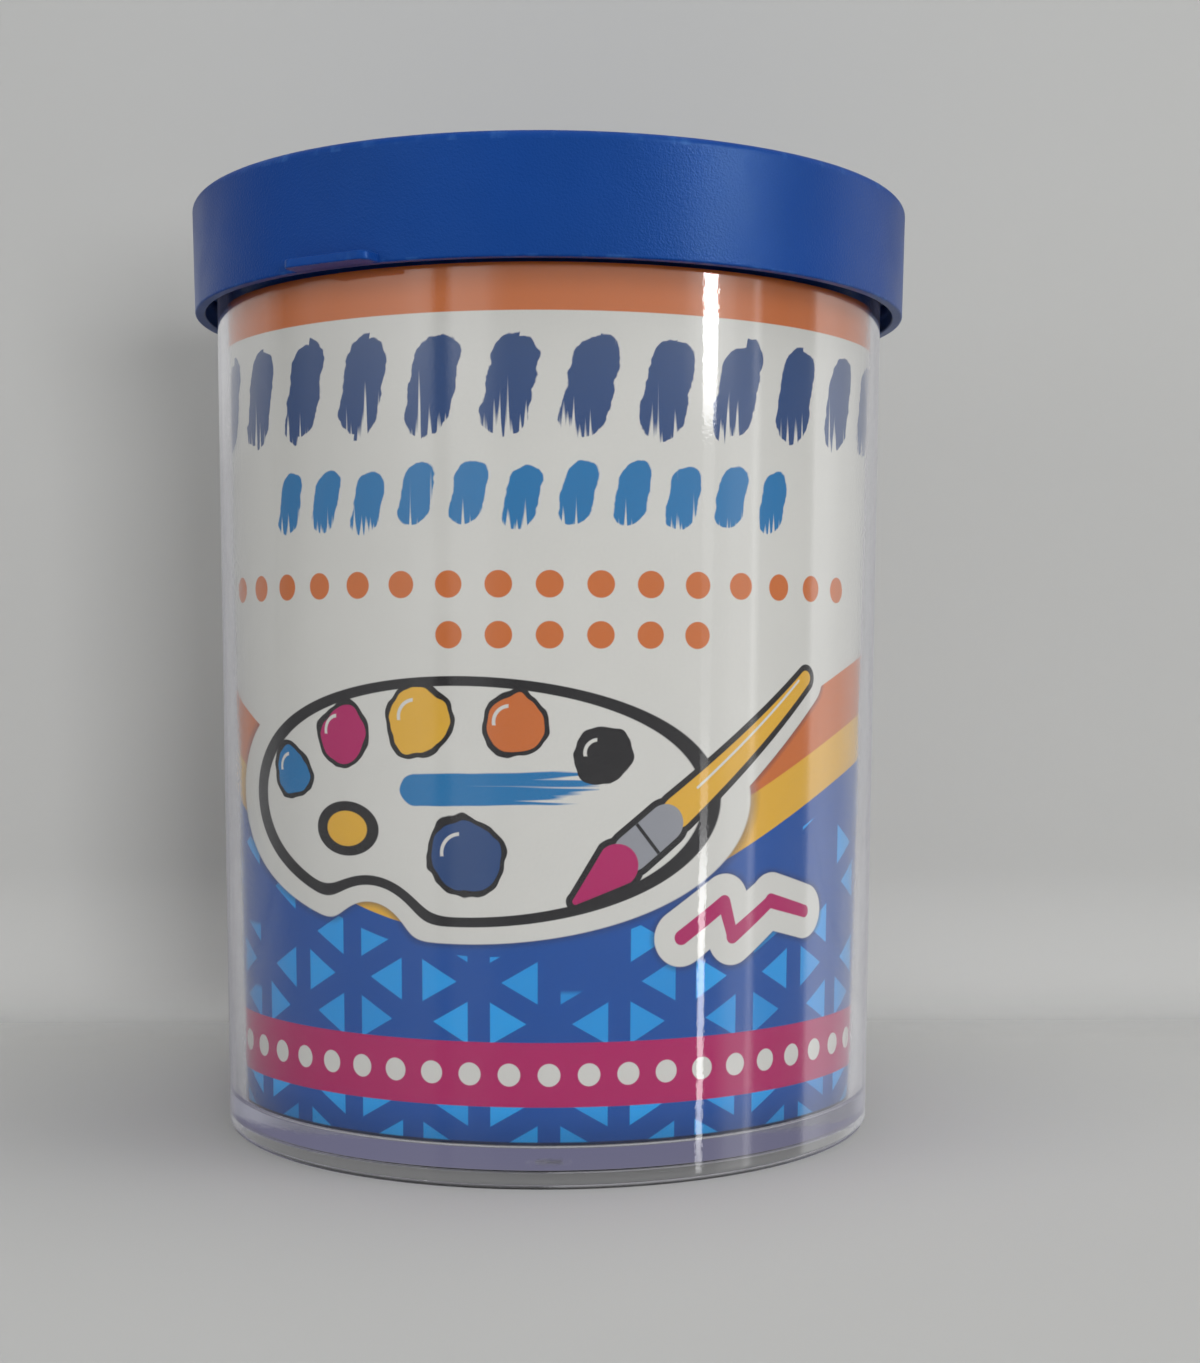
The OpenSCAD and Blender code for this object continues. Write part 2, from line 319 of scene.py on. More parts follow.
def rolled_sheet(columns=480, rows=28):
    """The sheet in s, the distance along it from the front, and z. A point of its outer face is
    (r sin(s / R), -r cos(s / R), z) with r = bore(z) - gap, less one thickness where the sheet's first
    end has tucked in under its last. The inner face lies one thickness further in, and a strip of
    quads joins the faces all round their borders."""
    round_once = 2 * np.pi * sheet_r
    s = np.linspace(-round_once / 2 - paper_lap / 2, round_once / 2 + paper_lap / 2, columns)[:, None]
    z = np.linspace(paper_low.z, paper_high.z, rows)[None]
    under = -round_once / 2 + paper_lap / 2
    tucked = (paper_t + lap_play) * (1 - eased((s - under) / lap_ease))

    def face(depth):
        """The grid of points that lies depth inside the outer face."""
        r = bore_r(z) - paper_gap - tucked - depth
        return np.stack([r * np.sin(s / sheet_r), -r * np.cos(s / sheet_r), z + 0 * s], -1)

    points = np.concatenate([face(0).reshape(-1, 3), face(paper_t).reshape(-1, 3)])
    outer = np.arange(columns * rows).reshape(columns, rows)
    inner = outer + columns * rows
    border = [np.concatenate([n[:-1, 0], n[-1, :-1], n[:0:-1, -1], n[0, :0:-1]]) for n in (outer, inner)]
    faces = [np.stack([n[:-1, :-1], n[1:, :-1], n[1:, 1:], n[:-1, 1:]], -1).reshape(-1, 4)
             for n in (outer, inner)]
    rim = np.stack([border[0], border[1], np.roll(border[1], -1), np.roll(border[0], -1)], -1)
    faces = np.concatenate([faces[0], faces[1][:, ::-1], rim])
    printed = (columns - 1) * (rows - 1)
    places = np.stack(np.broadcast_arrays(s, z), -1)
    places = np.tile(places.reshape(-1, 2), (2, 1)) / MM
    return points, faces, places, printed


def bake_places(places, faces, printed):
    """Where each face corner goes on a square bake map: the front half of the print large at the
    bottom, its back half above that, then the plain inner face and the edges."""
    half = math.pi * sheet_r / MM / 2
    low, high = places[:, 1].min(), places[:, 1].max()
    corner = places[faces]
    x, z = corner[..., 0], (corner[..., 1] - low) / (high - low)
    middle = x.mean(1, keepdims=True)
    back = x - np.sign(middle) * 2 * half
    reach = 2 * half + paper_lap / MM
    on_front = np.abs(middle) < half
    u = np.where(on_front, 0.5 + x / (2.04 * half), 0.5 + back / (2.04 * half + 2 * paper_lap / MM))
    v = np.where(on_front, 0.005 + 0.55 * z, 0.57 + 0.28 * z)
    u[printed:] = 0.5 + x[printed:] / (2.04 * reach)
    v[printed:] = 0.87 + 0.1 * z[printed:]
    return u, v


sheet_points, sheet_faces, sheet_places, sheet_printed = rolled_sheet()
sheet_mesh = bpy.data.meshes.new("paper_sleeve")
sheet_mesh.from_pydata(sheet_points, [], sheet_faces.tolist())
sheet_uv = sheet_mesh.uv_layers.new(name="Sheet")
sheet_uv.data.foreach_set("uv", sheet_places[sheet_faces].ravel().astype(np.float32))
bake_uv = sheet_mesh.uv_layers.new(name="OFBake")
on_bake = np.stack(bake_places(sheet_places, sheet_faces, sheet_printed), -1)
bake_uv.data.foreach_set("uv", on_bake.ravel())
face_number = np.arange(len(sheet_faces))
sheet_mesh.polygons.foreach_set("material_index", (face_number >= sheet_printed).astype(int))
sheet_mesh.polygons.foreach_set("use_smooth", face_number < 2 * sheet_printed)
sheet_mesh.update()


class Ink:
    """A number at each point of the print. Arithmetic on one adds Math nodes to the material's tree."""

    def __init__(self, tree, socket):
        self.tree = tree
        self.socket = socket

    def math(self, operation, *others, clamp=False):
        """The result of one Math node on this number and up to two others."""
        values = {k: v.socket if isinstance(v, Ink) else v for k, v in enumerate((self, *others))}
        made = node(self.tree, "ShaderNodeMath", values, operation=operation, use_clamp=clamp)
        return Ink(self.tree, made.outputs[0])

    def __add__(self, other):
        return self.math("ADD", other)

    def __sub__(self, other):
        return self.math("SUBTRACT", other)

    def __mul__(self, other):
        return self.math("MULTIPLY", other)

    def __truediv__(self, other):
        return self.math("DIVIDE", other)

    def __neg__(self):
        return self.math("MULTIPLY", -1.0)

    def __abs__(self):
        return self.math("ABSOLUTE")

    def least(self, *others):
        """The smallest of several numbers."""
        made = self
        for other in others:
            made = made.math("MINIMUM", other)
        return made

    def most(self, *others):
        """The largest of several numbers."""
        made = self
        for other in others:
            made = made.math("MAXIMUM", other)
        return made

    def noise(self, other, across, along=1.0, detail=2):
        """Noise from 0 to 1 at (self, other) in millimetres, drawn out along the first direction."""
        place = node(self.tree, "ShaderNodeCombineXYZ", {0: (self / along).socket, 1: other.socket})
        inputs = {"Vector": place.outputs[0], "Scale": 1 / across, "Detail": detail}
        return Ink(self.tree, node(self.tree, "ShaderNodeTexNoise", inputs).outputs["Fac"])


def length(a, b):
    """sqrt(a^2 + b^2)."""
    return (a * a + b * b).math("SQRT")


def disc(x, z, at, radius):
    """Distance outside a disc, in millimetres."""
    return length(x - at[0], z - at[1]) - radius


def oval(x, z, at, half_width, half_height):
    """About the distance outside an ellipse: (|p / axes| - 1) times the shorter axis."""
    return (length((x - at[0]) / half_width, (z - at[1]) / half_height) - 1) * half_height


def bar(x, z, start, end, radius, taper=0.0):
    """Distance outside a round-ended bar from start to end, whose radius changes by taper on the way."""
    dx, dz = end[0] - start[0], end[1] - start[1]
    t = (((x - start[0]) * dx + (z - start[1]) * dz) / (dx * dx + dz * dz)).math("ADD", 0.0, clamp=True)
    return length(x - start[0] - t * dx, z - start[1] - t * dz) - t * taper - radius


def inside(distance, soft=0.09):
    """1 where distance is negative and 0 where it is positive, over a soft edge."""
    return (distance / -soft).math("ADD", 0.5, clamp=True)


def blended(tree, share, first, second, **settings):
    """The first colour where share is 0 and the second where it is 1."""
    inputs = {0: share, 6: first, 7: second}
    return node(tree, "ShaderNodeMix", inputs, data_type="RGBA", **settings).outputs[2]


def laid(under, ink, cover):
    """ink printed over what is under it, where cover is 1."""
    return blended(cover.tree, cover.socket, under, ink)


def chance_in(tree, cells):
    """A random number for the cell with these one to three whole coordinates."""
    place = {k: cell.math("FLOOR").socket for k, cell in enumerate(cells)}
    cell = node(tree, "ShaderNodeCombineXYZ", place).outputs[0]
    return Ink(tree, node(tree, "ShaderNodeTexWhiteNoise", {"Vector": cell}).outputs["Value"])


def brush_stroke(x, z, start, end, radius, seed):
    """Cover of one dry-brush stroke: a bar with a wavering edge, whose far end breaks up into the
    bristles' streaks."""
    waver = ((x + seed * 37.0).noise(z, 2.2, 4.0) - 0.5) * 1.5
    shape = inside(bar(x, z, start, end, radius) + waver * (radius * 0.28), 0.12)
    worn = ((x - start[0]) / (end[0] - start[0])).math("POWER", 3.0) * 0.30
    streak = (x + seed * 53.0).noise(z, 0.55, 30.0, 1) - worn
    return shape * inside(-streak + 0.23, 0.10)


def dab_row(x, z, *, middle, reach, step, radius, seed):
    """Cover of a row of slanting dry-brush dabs, one to each step: bars with wavering edges that hop up
    and down a little, worn to the bristles' streaks at their lower ends."""
    lean = x - (z - middle) * 0.2
    chance = chance_in(x.tree, [lean / step + seed * 7.5])
    beat = lean.math("WRAP", step, 0.0) - step / 2
    height = z - middle + (chance - 0.5) * (reach * 0.28)
    waver = ((x + seed * 37.0).noise(z, 1.6) - 0.5) * 1.5
    dab = bar(beat, height, (0, reach - radius), (0, radius - reach), radius)
    shape = inside(dab + waver * (radius * 0.3), 0.12)
    worn = ((-height + reach) / (2 * reach)).math("POWER", 3.0) * (chance * 0.2 + 0.2)
    streak = z.noise(x + seed * 53.0, 0.5, 30.0, 1) - worn
    return shape * inside(-streak + 0.23, 0.10)


def triangles(x, z, height, gap):
    """Cover of a lattice of equilateral triangles that point left and right, each set in by gap / 2,
    and a random number for each. The lattice is three families of lines at 60 degrees."""
    across = x / height
    lean = z * (math.sqrt(3) / 2 / height)
    ways = [across, across * 0.5 + lean, across * 0.5 - lean]
    nearest = [(-abs(w.math("FRACT") - 0.5) + 0.5) * height for w in ways]
    return inside(-nearest[0].least(*nearest[1:]) + gap / 2), chance_in(x.tree, ways)


def printed_paper():
    """The print in x along the sheet and z up it, laid ink by ink from the plain sheet upwards, with a
    band of painted shade at its lower edge.
    """
    material, tree, out = new_material("printed_paper")
    place = node(tree, "ShaderNodeUVMap", uv_map="Sheet").outputs[0]
    split = node(tree, "ShaderNodeSeparateXYZ", {0: place})
    along, z = Ink(tree, split.outputs[0]), Ink(tree, split.outputs[1])
    period = 2 * math.pi * sheet_r / MM / print_repeats
    x = along.math("WRAP", period / 2, -period / 2)

    wave = ((x + 6) * (2 * math.pi / period)).math("COSINE") * -7.8 + 41.3
    shape, chance = triangles(x, z, 6.5, 2.1)
    paint = laid(PAPER, ORANGE, inside(z - wave))
    paint = laid(paint, AMBER, inside(z - wave + amber_drop))
    paint = laid(paint, BLUE, inside(z - wave + blue_drop))
    pale = shape * inside(z - wave + (blue_drop + 2)) * inside(z * 0.045 - chance - 0.72, 0.02)
    paint = laid(paint, PALE_BLUE, pale * (chance * 0.35 + 0.65))
    paint = laid(paint, MAGENTA, inside(abs(z - ribbon_z) - ribbon_half))
    beads = x.math("WRAP", bead_step / 2, -bead_step / 2)
    paint = laid(paint, PAPER, inside(disc(beads, z, (0, ribbon_z), 1.05)))
    paint = laid(paint, ORANGE, inside(-z + top_band_z))

    large_dabs = dab_row(x, z, middle=73.0, reach=4.6, step=7.1, radius=2.15, seed=1)
    paint = laid(paint, NAVY, large_dabs * inside(abs(x) - 42.6))
    small_dabs = dab_row(x, z, middle=62.9, reach=2.9, step=4.9, radius=1.5, seed=4)
    paint = laid(paint, SKY, small_dabs * inside(abs(x + 2.45) - 26.95))
    drops = x.math("WRAP", drop_step / 2, -drop_step / 2)
    for height, middle, beats in ((55.0, -drop_step / 2, 8), (50.4, drop_step / 2, 3)):
        row = inside(disc(drops, z, (0, height), drop_r))
        paint = laid(paint, ORANGE, row * inside(abs(x - middle) - beats * drop_step))

    bite = disc(x, z, (-17.5, 21.5), 6.2)
    hole = oval(x, z, (-20.0, 32.4), 3.0, 2.1)
    board = oval(x, z, (-8.5, 35.2), 24.0, 11.0).math("SMOOTH_MAX", -bite, 3.0).most(-hole)
    handle = bar(x, z, (27.0, 46.4), (12.0, 34.2), 0.75, 0.75)
    ferrule = bar(x, z, (10.8, 33.2), (7.6, 30.6), 1.75)
    bristles = bar(x, z, (6.2, 29.4), (2.4, 26.2), 2.0, -1.7)
    brush = handle.least(ferrule, bristles)
    trail = bar(x, z, (12.5, 22.6), (17.0, 25.6), 0.7)
    turns = ((17.0, 25.6), (18.0, 22.4), (22.6, 25.4), (27.5, 24.0))
    for start, end in zip(turns, turns[1:]):
        trail = trail.least(bar(x, z, start, end, 0.7, -0.1))
    halo = board.least(brush, trail) - 2.0
    # A printed drop shadow round the emblem's white halo, on the coloured fields
    paint = laid(paint, SHADOW_INK_AND_PAINTED_SHADE, inside(halo - 0.3, 0.6) * inside(z - wave) * 0.6)
    paint = laid(paint, PAPER, inside(halo, 0.12))
    paint = laid(paint, AMBER, inside(hole + 0.3))
    paint = laid(paint, BLACK, inside(abs(board) - 0.45))
    paint = laid(paint, SKY, brush_stroke(x, z, (-12.5, 36.2), (3.0, 36.6), 1.5, 6))
    for at, ink, size in (
        ((-27.2, 37.6), SKY, 2.4),
        ((-20.6, 41.2), MAGENTA, 2.7),
        ((-12.2, 42.6), AMBER, 3.0),
        ((-3.2, 42.2), ORANGE, 2.8),
        ((4.8, 39.4), BLACK, 2.3),
        ((-7.8, 30.2), NAVY, 3.4),
    ):
        dab = disc(x, z, at, size) + (x.noise(z, 4.2) - 0.5) * 2.4
        shine = disc(x, z, (at[0] - 0.4, at[1] + 0.3), size * 0.52)
        paint = laid(paint, BLACK, inside(dab - 0.4))
        paint = laid(paint, ink, inside(dab + 0.1))
        paint = laid(paint, PAPER, inside((abs(shine) - 0.16).most(x - at[0] + 0.5, -z + at[1])))
    paint = laid(paint, MAGENTA, inside(trail))
    paint = laid(paint, BLACK, inside(brush - 0.6))
    paint = laid(paint, AMBER, inside(handle))
    paint = laid(paint, PAPER, inside(bar(x, z, (26.0, 46.2), (14.0, 36.4), 0.12)))
    paint = laid(paint, STEEL, inside(ferrule))
    paint = laid(paint, BLACK, inside(bar(x, z, (8.0, 33.2), (10.2, 30.4), 0.16).most(ferrule)))
    paint = laid(paint, MAGENTA, inside(bristles))

    # A band of painted shade along the sheet's lower edge, where it meets the cup's floor
    paint = laid(paint, SHADOW_INK_AND_PAINTED_SHADE, inside(z - painted_shade_z, 0.15))
    patchy = along.noise(z, 14.0, 1.0, 3) * 0.10 + 0.95
    fibre = along.noise(z, 0.25, 1.0, 2)
    speckle = (fibre - 0.5) * 0.10 + patchy
    tone = node(tree, "ShaderNodeCombineColor", {k: speckle.socket for k in range(3)}).outputs[0]
    toned = blended(tree, 1.0, paint, tone, blend_type="MULTIPLY")
    body = node(tree, "ShaderNodeBsdfPrincipled", {
        "Base Color": toned, "Roughness": (fibre * 0.2 + 0.45).socket, "Specular IOR Level": 0.05,
        "Normal": bumped(tree, fibre.socket, 0.3, 0.01 * MM)})
    tree.links.new(body.outputs[0], out.inputs["Surface"])
    return material


def plain_paper():
    """The unprinted back of the sheet: dull white with fibres."""
    material, tree, out = new_material("plain_paper")
    fibre = grain(tree, 0.3 * MM, 3)
    white = blended(tree, ranged(tree, grain(tree, 6 * MM, 3), 0, 1), BACK_CLOUDY, BACK)
    body = node(tree, "ShaderNodeBsdfPrincipled", {
        "Base Color": white, "Roughness": ranged(tree, fibre, 0.75, 0.95), "Specular IOR Level": 0.25,
        "Normal": bumped(tree, fibre, 0.4, 0.015 * MM)})
    tree.links.new(body.outputs[0], out.inputs["Surface"])
    return material


sheet_mesh.materials.append(printed_paper())
sheet_mesh.materials.append(plain_paper())
sleeve = bpy.data.objects.new("paper_sleeve", sheet_mesh)
bpy.context.scene.collection.objects.link(sleeve)
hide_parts("paper_insert")
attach(sleeve, "cup")

# Inverted lid: a polypropylene moulding that hooks over the rim. Its plug seals in the bore with two
# low rings, and its wall goes on down as a funnel to a round brush hole with a rolled lip, so that
# water runs back into the cup when it falls over.
lid_low, lid_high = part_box("inverted_lid")
land_z = lid_high.z
lip_z = lid_low.z
hook_out_r = lid_high.x
hook_in_r = hook_out_r - 0.65 * MM
hook_z = 86.4 * MM
land_edge_r = 0.5 * MM
lid_wall_t = 1.0 * MM
plug_gap = 0.15 * MM
plug_z = cup_top - 5 * MM
seal_gap = 0.05 * MM
seal_h = 0.8 * MM
hole_r = 13 * MM
neck_h = 3 * MM
lip_r = 0.9 * MM
lip_edge_r = 0.9 * lip_r
funnel_bend_r = 2.5 * MM

LID_BLUE = (0.007, 0.050, 0.24, 1)
LID_BLUE_LIGHT = (0.010, 0.060, 0.28, 1)
# The paler blue of worn edges, also used as a painted highlight
LID_WEAR_AND_HIGHLIGHT = (0.040, 0.12, 0.36, 1)
SATIN_TINT = (0.55, 0.88, 1.0, 1)


def satin_plastic(name, deep, light, wear_and_highlight_colour):
    """Dyed plastic from a spark-textured mould: satin, finely pebbled, cloudy in its colour, and paler
    at its edges, partly from wear and partly as a painted highlight."""
    material, tree, out = new_material(name)
    cloud = ranged(tree, grain(tree, 16 * MM, 3), 0, 1)
    pebble = grain(tree, 0.22 * MM, 2)
    pits = grain(tree, 0.12 * MM, 1)
    scuffs = ranged(tree, grain(tree, 1.6 * MM, 4, (1, 1, 0.35)), 0, 1, 0.52, 0.75)
    wear_and_sheen = node(tree, "ShaderNodeAttribute", attribute_name="wear_and_sheen").outputs["Fac"]
    # Paler where an edge is worn, and where a highlight is painted on the rounded edges and the pry tab
    worn = calculated(tree, "MULTIPLY", wear_and_sheen, scuffs)
    colour = blended(tree, worn, blended(tree, cloud, deep, light), wear_and_highlight_colour)
    coarse = bumped(tree, pebble, 1.0, 0.04 * MM)
    fine = bumped(tree, pits, 0.5, 0.02 * MM, coarse)
    satin = ranged(tree, grain(tree, 5 * MM, 3), 0.29, 0.36)
    body = node(tree, "ShaderNodeBsdfPrincipled", {
        "Base Color": colour, "Roughness": satin, "IOR": 1.49, "Specular IOR Level": 0.23,
        "Specular Tint": SATIN_TINT, "Normal": fine})
    tree.links.new(body.outputs[0], out.inputs["Surface"])
    return material


def seal_ring(z, wall_r, facing_r):
    """Corners of a low ring on a wall, from z + seal_h down to z, that all but meets the facing wall."""
    crest = facing_r - seal_gap
    third = seal_h / 3
    return [(wall_r, z + seal_h, 0), (crest, z + 2 * third, 0), (crest, z + third, 0), (wall_r, z, 0)]


def plug_r(z):
    """Outer radius of the plug at height z."""
    return bore_r(z) - plug_gap


mouth_r = plug_r(plug_z) - lid_wall_t
neck_r = hole_r + lid_wall_t
neck_z = lip_z + neck_h
funnel_slope = (plug_z - neck_z) / (plug_r(plug_z) - neck_r)
funnel_rise = lid_wall_t * math.hypot(1, funnel_slope)


def funnel_top(r):
    """Height of the funnel's upper face at radius r."""
    return neck_z + funnel_slope * (r - neck_r) + funnel_rise


low_seal, high_seal = plug_z + seal_h, cup_top - 2 * seal_h
lid_section = outline([
    (hook_in_r, hook_z, soft_edge_r),
    (hook_out_r, hook_z, soft_edge_r),
    (hook_out_r, land_z, land_edge_r),
    (mouth_r, land_z, inner_corner_r),
    (mouth_r, funnel_top(mouth_r), funnel_bend_r),
    (hole_r, funnel_top(hole_r), neck_h / 2),
    (hole_r, lip_z, lip_edge_r),
    (hole_r + 2 * lip_r, lip_z, lip_edge_r),
    (hole_r + 2 * lip_r, lip_z + 2 * lip_r, lip_edge_r),
    (neck_r, lip_z + 2 * lip_r, 0),
    (neck_r, neck_z, 0),
    (plug_r(plug_z), plug_z, soft_edge_r),
    *seal_ring(low_seal, plug_r(low_seal), bore_r(low_seal))[::-1],
    *seal_ring(high_seal, plug_r(high_seal), bore_r(high_seal))[::-1],
    (plug_r(cup_top), cup_top, 0),
    (hook_in_r, cup_top, 0),
], closed=True)
lid_blue = satin_plastic("lid_plastic", LID_BLUE, LID_BLUE_LIGHT, LID_WEAR_AND_HIGHLIGHT)
lid_body = skin(turned(lid_section), lid_section[:, 2], closed=True)
inner_lid = moulding("funnel_lid", [lid_body], lid_blue)
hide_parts("inverted_lid")
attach(inner_lid, "inverted_lid")

# Cap: the tight outer top, moulded in softer blue plastic with a satin, spark-textured outside. A ring
# under it seals in the funnel lid's mouth, six beads snap under the hook, and a small tab at the
# skirt's lower edge lets a fingernail pry it off.
cap_low, cap_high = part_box("cap")
cap_top = cap_high.z
skirt_z = cap_low.z
cap_r = cap_high.x
skirt_low_r = cap_r - 0.3 * MM
skirt_in_r = skirt_low_r - 1.05 * MM
cap_edge_r = 0.8 * MM
cap_t = 1.4 * MM
panel_drop = 0.8 * MM
panel_r = cap_r - 3.5 * MM
panel_draft = 0.2 * MM
riser_r = panel_r + 1.4 * MM
ring_r = mouth_r - 0.15 * MM
ring_t = 0.9 * MM
ring_h = 3.4 * MM
snap_bead = 0.15 * MM
snap_h = 1.2 * MM
snap_high = hook_z - 0.1 * MM
snap_count = 6
snap_half = math.radians(12)
snap_rows = 6
tab_w = 9.4 * MM
tab_out = 1.9 * MM
tab_t = 0.8 * MM
tab_corner_r = 0.9 * MM
tab_edge_r = 0.14 * MM
tab_turn = math.radians(-31.8)
# The pry tab's whole surface takes this share of the paler colour as a painted highlight
tab_painted_highlight = 0.6

CAP_BLUE = (0.0045, 0.046, 0.24, 1)
CAP_BLUE_LIGHT = (0.006, 0.053, 0.275, 1)
# The paler blue of worn edges, also used as a painted highlight
CAP_WEAR_AND_HIGHLIGHT = (0.030, 0.11, 0.36, 1)


def with_snap_beads(grid):
    """The grid with its inner skirt wall pushed in by the snap beads: towards the axis by
    bead * ramp(z) * window(a), where ramp rises over a third of the bead's height and falls again,
    and window is 1 across each bead's share of the angle and fades out over one degree."""
    r = np.hypot(grid[..., 0], grid[..., 1])
    a = np.arctan2(grid[..., 1], grid[..., 0])
    step = 2 * np.pi / snap_count
    off = np.abs((a + step / 2) % step - step / 2)
    z = grid[..., 2]
    ramp = np.clip(np.minimum(z - snap_high + snap_h, snap_high - z) / (snap_h / 3), 0, 1)
    window = 1 - eased((off - snap_half) / math.radians(1) + 1)
    on_wall = np.abs(r - skirt_in_r) < 0.02 * MM
    pushed = snap_bead * ramp * window * on_wall
    grid[..., :2] *= (1 - pushed / np.maximum(r, MM))[..., None]
    return grid


def pry_tab():
    """The tab as a closed pillow: the plan is a rounded rectangle, drawn in along its own normals by
    e (1 - cos) while the height goes through e (1 - sin) at both faces, with e the edge's radius. It
    starts inside the skirt's wall."""
    root, tip, half = -(skirt_in_r + 0.5 * MM), -(skirt_low_r + tab_out), tab_w / 2
    corners = [(-half, root, 0), (-half, tip, tab_corner_r), (half, tip, tab_corner_r), (half, root, 0)]
    plan = outline(corners, closed=True, longest=0.5 * MM)[:, :2]
    ways = unit(np.roll(plan, -1, 0) - np.roll(plan, 1, 0))
    out = np.column_stack([-ways[:, 1], ways[:, 0]])
    out *= np.sign(((plan - plan.mean(0)) * out).sum(1, keepdims=True))
    q = np.linspace(0, np.pi / 2, 6)
    inset = np.concatenate([tab_edge_r * (1 - np.sin(q)), tab_edge_r * (1 - np.cos(q))])
    height = np.concatenate([tab_edge_r * (1 - np.cos(q)), tab_t - tab_edge_r * (1 - np.sin(q))])
    rings = plan[None] - out[None] * inset[:, None, None]
    grid = np.concatenate([rings, np.broadcast_to(height[:, None, None], rings.shape[:2] + (1,))], -1)
    middle = np.append(plan.mean(0), 0)
    inner = middle + (grid[[0, -1]] - middle) * (0.9, 0.9, 1)
    poles = middle + (grid[[0, -1]] - middle) * (0, 0, 1)
    grid = np.concatenate([poles[:1], inner[:1], grid, inner[1:], poles[1:]])
    c, s = math.cos(tab_turn), math.sin(tab_turn)
    x, y = grid[..., 0], grid[..., 1]
    return np.stack([x * c - y * s, x * s + y * c, grid[..., 2] + skirt_z], -1)


seal_z = land_z - ring_h / 2 - seal_h / 2
cap_section = outline([
    (0, cap_top - panel_drop, 0),
    (panel_r, cap_top - panel_drop, inner_corner_r),
    (panel_r + panel_draft, cap_top, soft_edge_r),
    (cap_r, cap_top, cap_edge_r),
    (skirt_low_r, skirt_z, soft_edge_r),
    (skirt_in_r, skirt_z, soft_edge_r),
    *[(skirt_in_r, snap_high - snap_h * (1 - k / snap_rows), 0) for k in range(snap_rows + 1)],
    (skirt_in_r, cap_top - cap_t, inner_corner_r),
    (riser_r, cap_top - cap_t, 0),
    (riser_r, land_z, 0),
    (ring_r, land_z, 0),
    *seal_ring(seal_z, ring_r, mouth_r),
    (ring_r, land_z - ring_h, soft_edge_r),
    (ring_r - ring_t, land_z - ring_h, soft_edge_r),
    (ring_r - ring_t, land_z, 0),
    (0, land_z, 0),
])
cap_body = skin(with_snap_beads(turned(cap_section, 360)), cap_section[:, 2])
cap_blue = satin_plastic("cap_plastic", CAP_BLUE, CAP_BLUE_LIGHT, CAP_WEAR_AND_HIGHLIGHT)
tab_rings = pry_tab()
tab_body = skin(tab_rings, np.full(len(tab_rings), tab_painted_highlight))
cap = moulding("snap_cap", [cap_body, tab_body], cap_blue)
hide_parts("cap")
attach(cap, "cap")

# Floor and backdrop: pale grey card under the cup, and a second sheet that sweeps up behind it. Both
# fade out into a sky of the same tone. A card shows and stops light on its front alone, and mirror
# rays pass it by, so that the strip lamp's reflection runs the whole height of the clear wall.
CARD = (0.565, 0.565, 0.55, 1)
CARD_CLOUDY = (0.545, 0.545, 0.533, 1)
floor_half = 0.9
floor_fade = (0.16, 0.60)
floor_painted_glow = 0.19
wall_y = 0.058
sweep_r = 0.02
wall_half_w = 0.34
wall_h = 0.25
wall_rows = 60
side_fade = 0.20
top_fade = 0.08


def pale_card(name, lift):
    """Matt card, faintly cloudy, as solid as its attribute "cover" says and seen from its front alone.
    lift is the strength of a painted glow that it shows through clear plastic, for the light that
    the foot and the paper pass on to it."""
    material, tree, out = new_material(name)
    cloud = ranged(tree, grain(tree, 0.12, 2), 0, 1)
    tone = blended(tree, cloud, CARD_CLOUDY, CARD)
    path = node(tree, "ShaderNodeLightPath").outputs
    # A painted glow that shows only through clear plastic
    painted_glow_strength = calculated(tree, "MULTIPLY", path["Is Transmission Ray"], lift)
    matt = node(tree, "ShaderNodeBsdfDiffuse", {"Color": tone}).outputs[0]
    painted_glow_through = node(tree, "ShaderNodeEmission", {"Color": tone, "Strength": painted_glow_strength}).outputs[0]
    card = node(tree, "ShaderNodeAddShader", {0: matt, 1: painted_glow_through}).outputs[0]
    cover = node(tree, "ShaderNodeAttribute", attribute_name="cover").outputs["Fac"]
    back = node(tree, "ShaderNodeNewGeometry").outputs["Backfacing"]
    solid = calculated(tree, "SUBTRACT", cover, back, use_clamp=True)
    unseen = node(tree, "ShaderNodeBsdfTransparent").outputs[0]
    tree.links.new(either_shader(tree, solid, unseen, card), out.inputs["Surface"])
    return material


def open_surface(name, grid, material, attribute, values):
    """One smooth open surface over a grid, with a float attribute on its points."""
    rows, columns = grid.shape[:2]
    number = np.arange(rows * columns).reshape(rows, columns)
    quads = np.stack([number[:-1, :-1], number[:-1, 1:], number[1:, 1:], number[1:, :-1]], -1)
    mesh = bpy.data.meshes.new(name)
    mesh.from_pydata(grid.reshape(-1, 3), [], quads.reshape(-1, 4).tolist())
    mesh.attributes.new(attribute, "FLOAT", "POINT").data.foreach_set("value", values.ravel())
    mesh.shade_smooth()
    mesh.materials.append(material)
    thing = bpy.data.objects.new(name, mesh)
    bpy.context.scene.collection.objects.link(thing)
    return thing


across = np.linspace(-floor_half, floor_half, 121)
x, y = np.meshgrid(across, across)
cover = 1 - eased((np.hypot(x, y) - floor_fade[0]) / (floor_fade[1] - floor_fade[0]))
floor_grid = np.stack([x, y, 0 * x], -1)
floor_card = open_surface("floor_card", floor_grid, pale_card("floor_card", floor_painted_glow), "cover", cover)
floor_card.visible_glossy = False

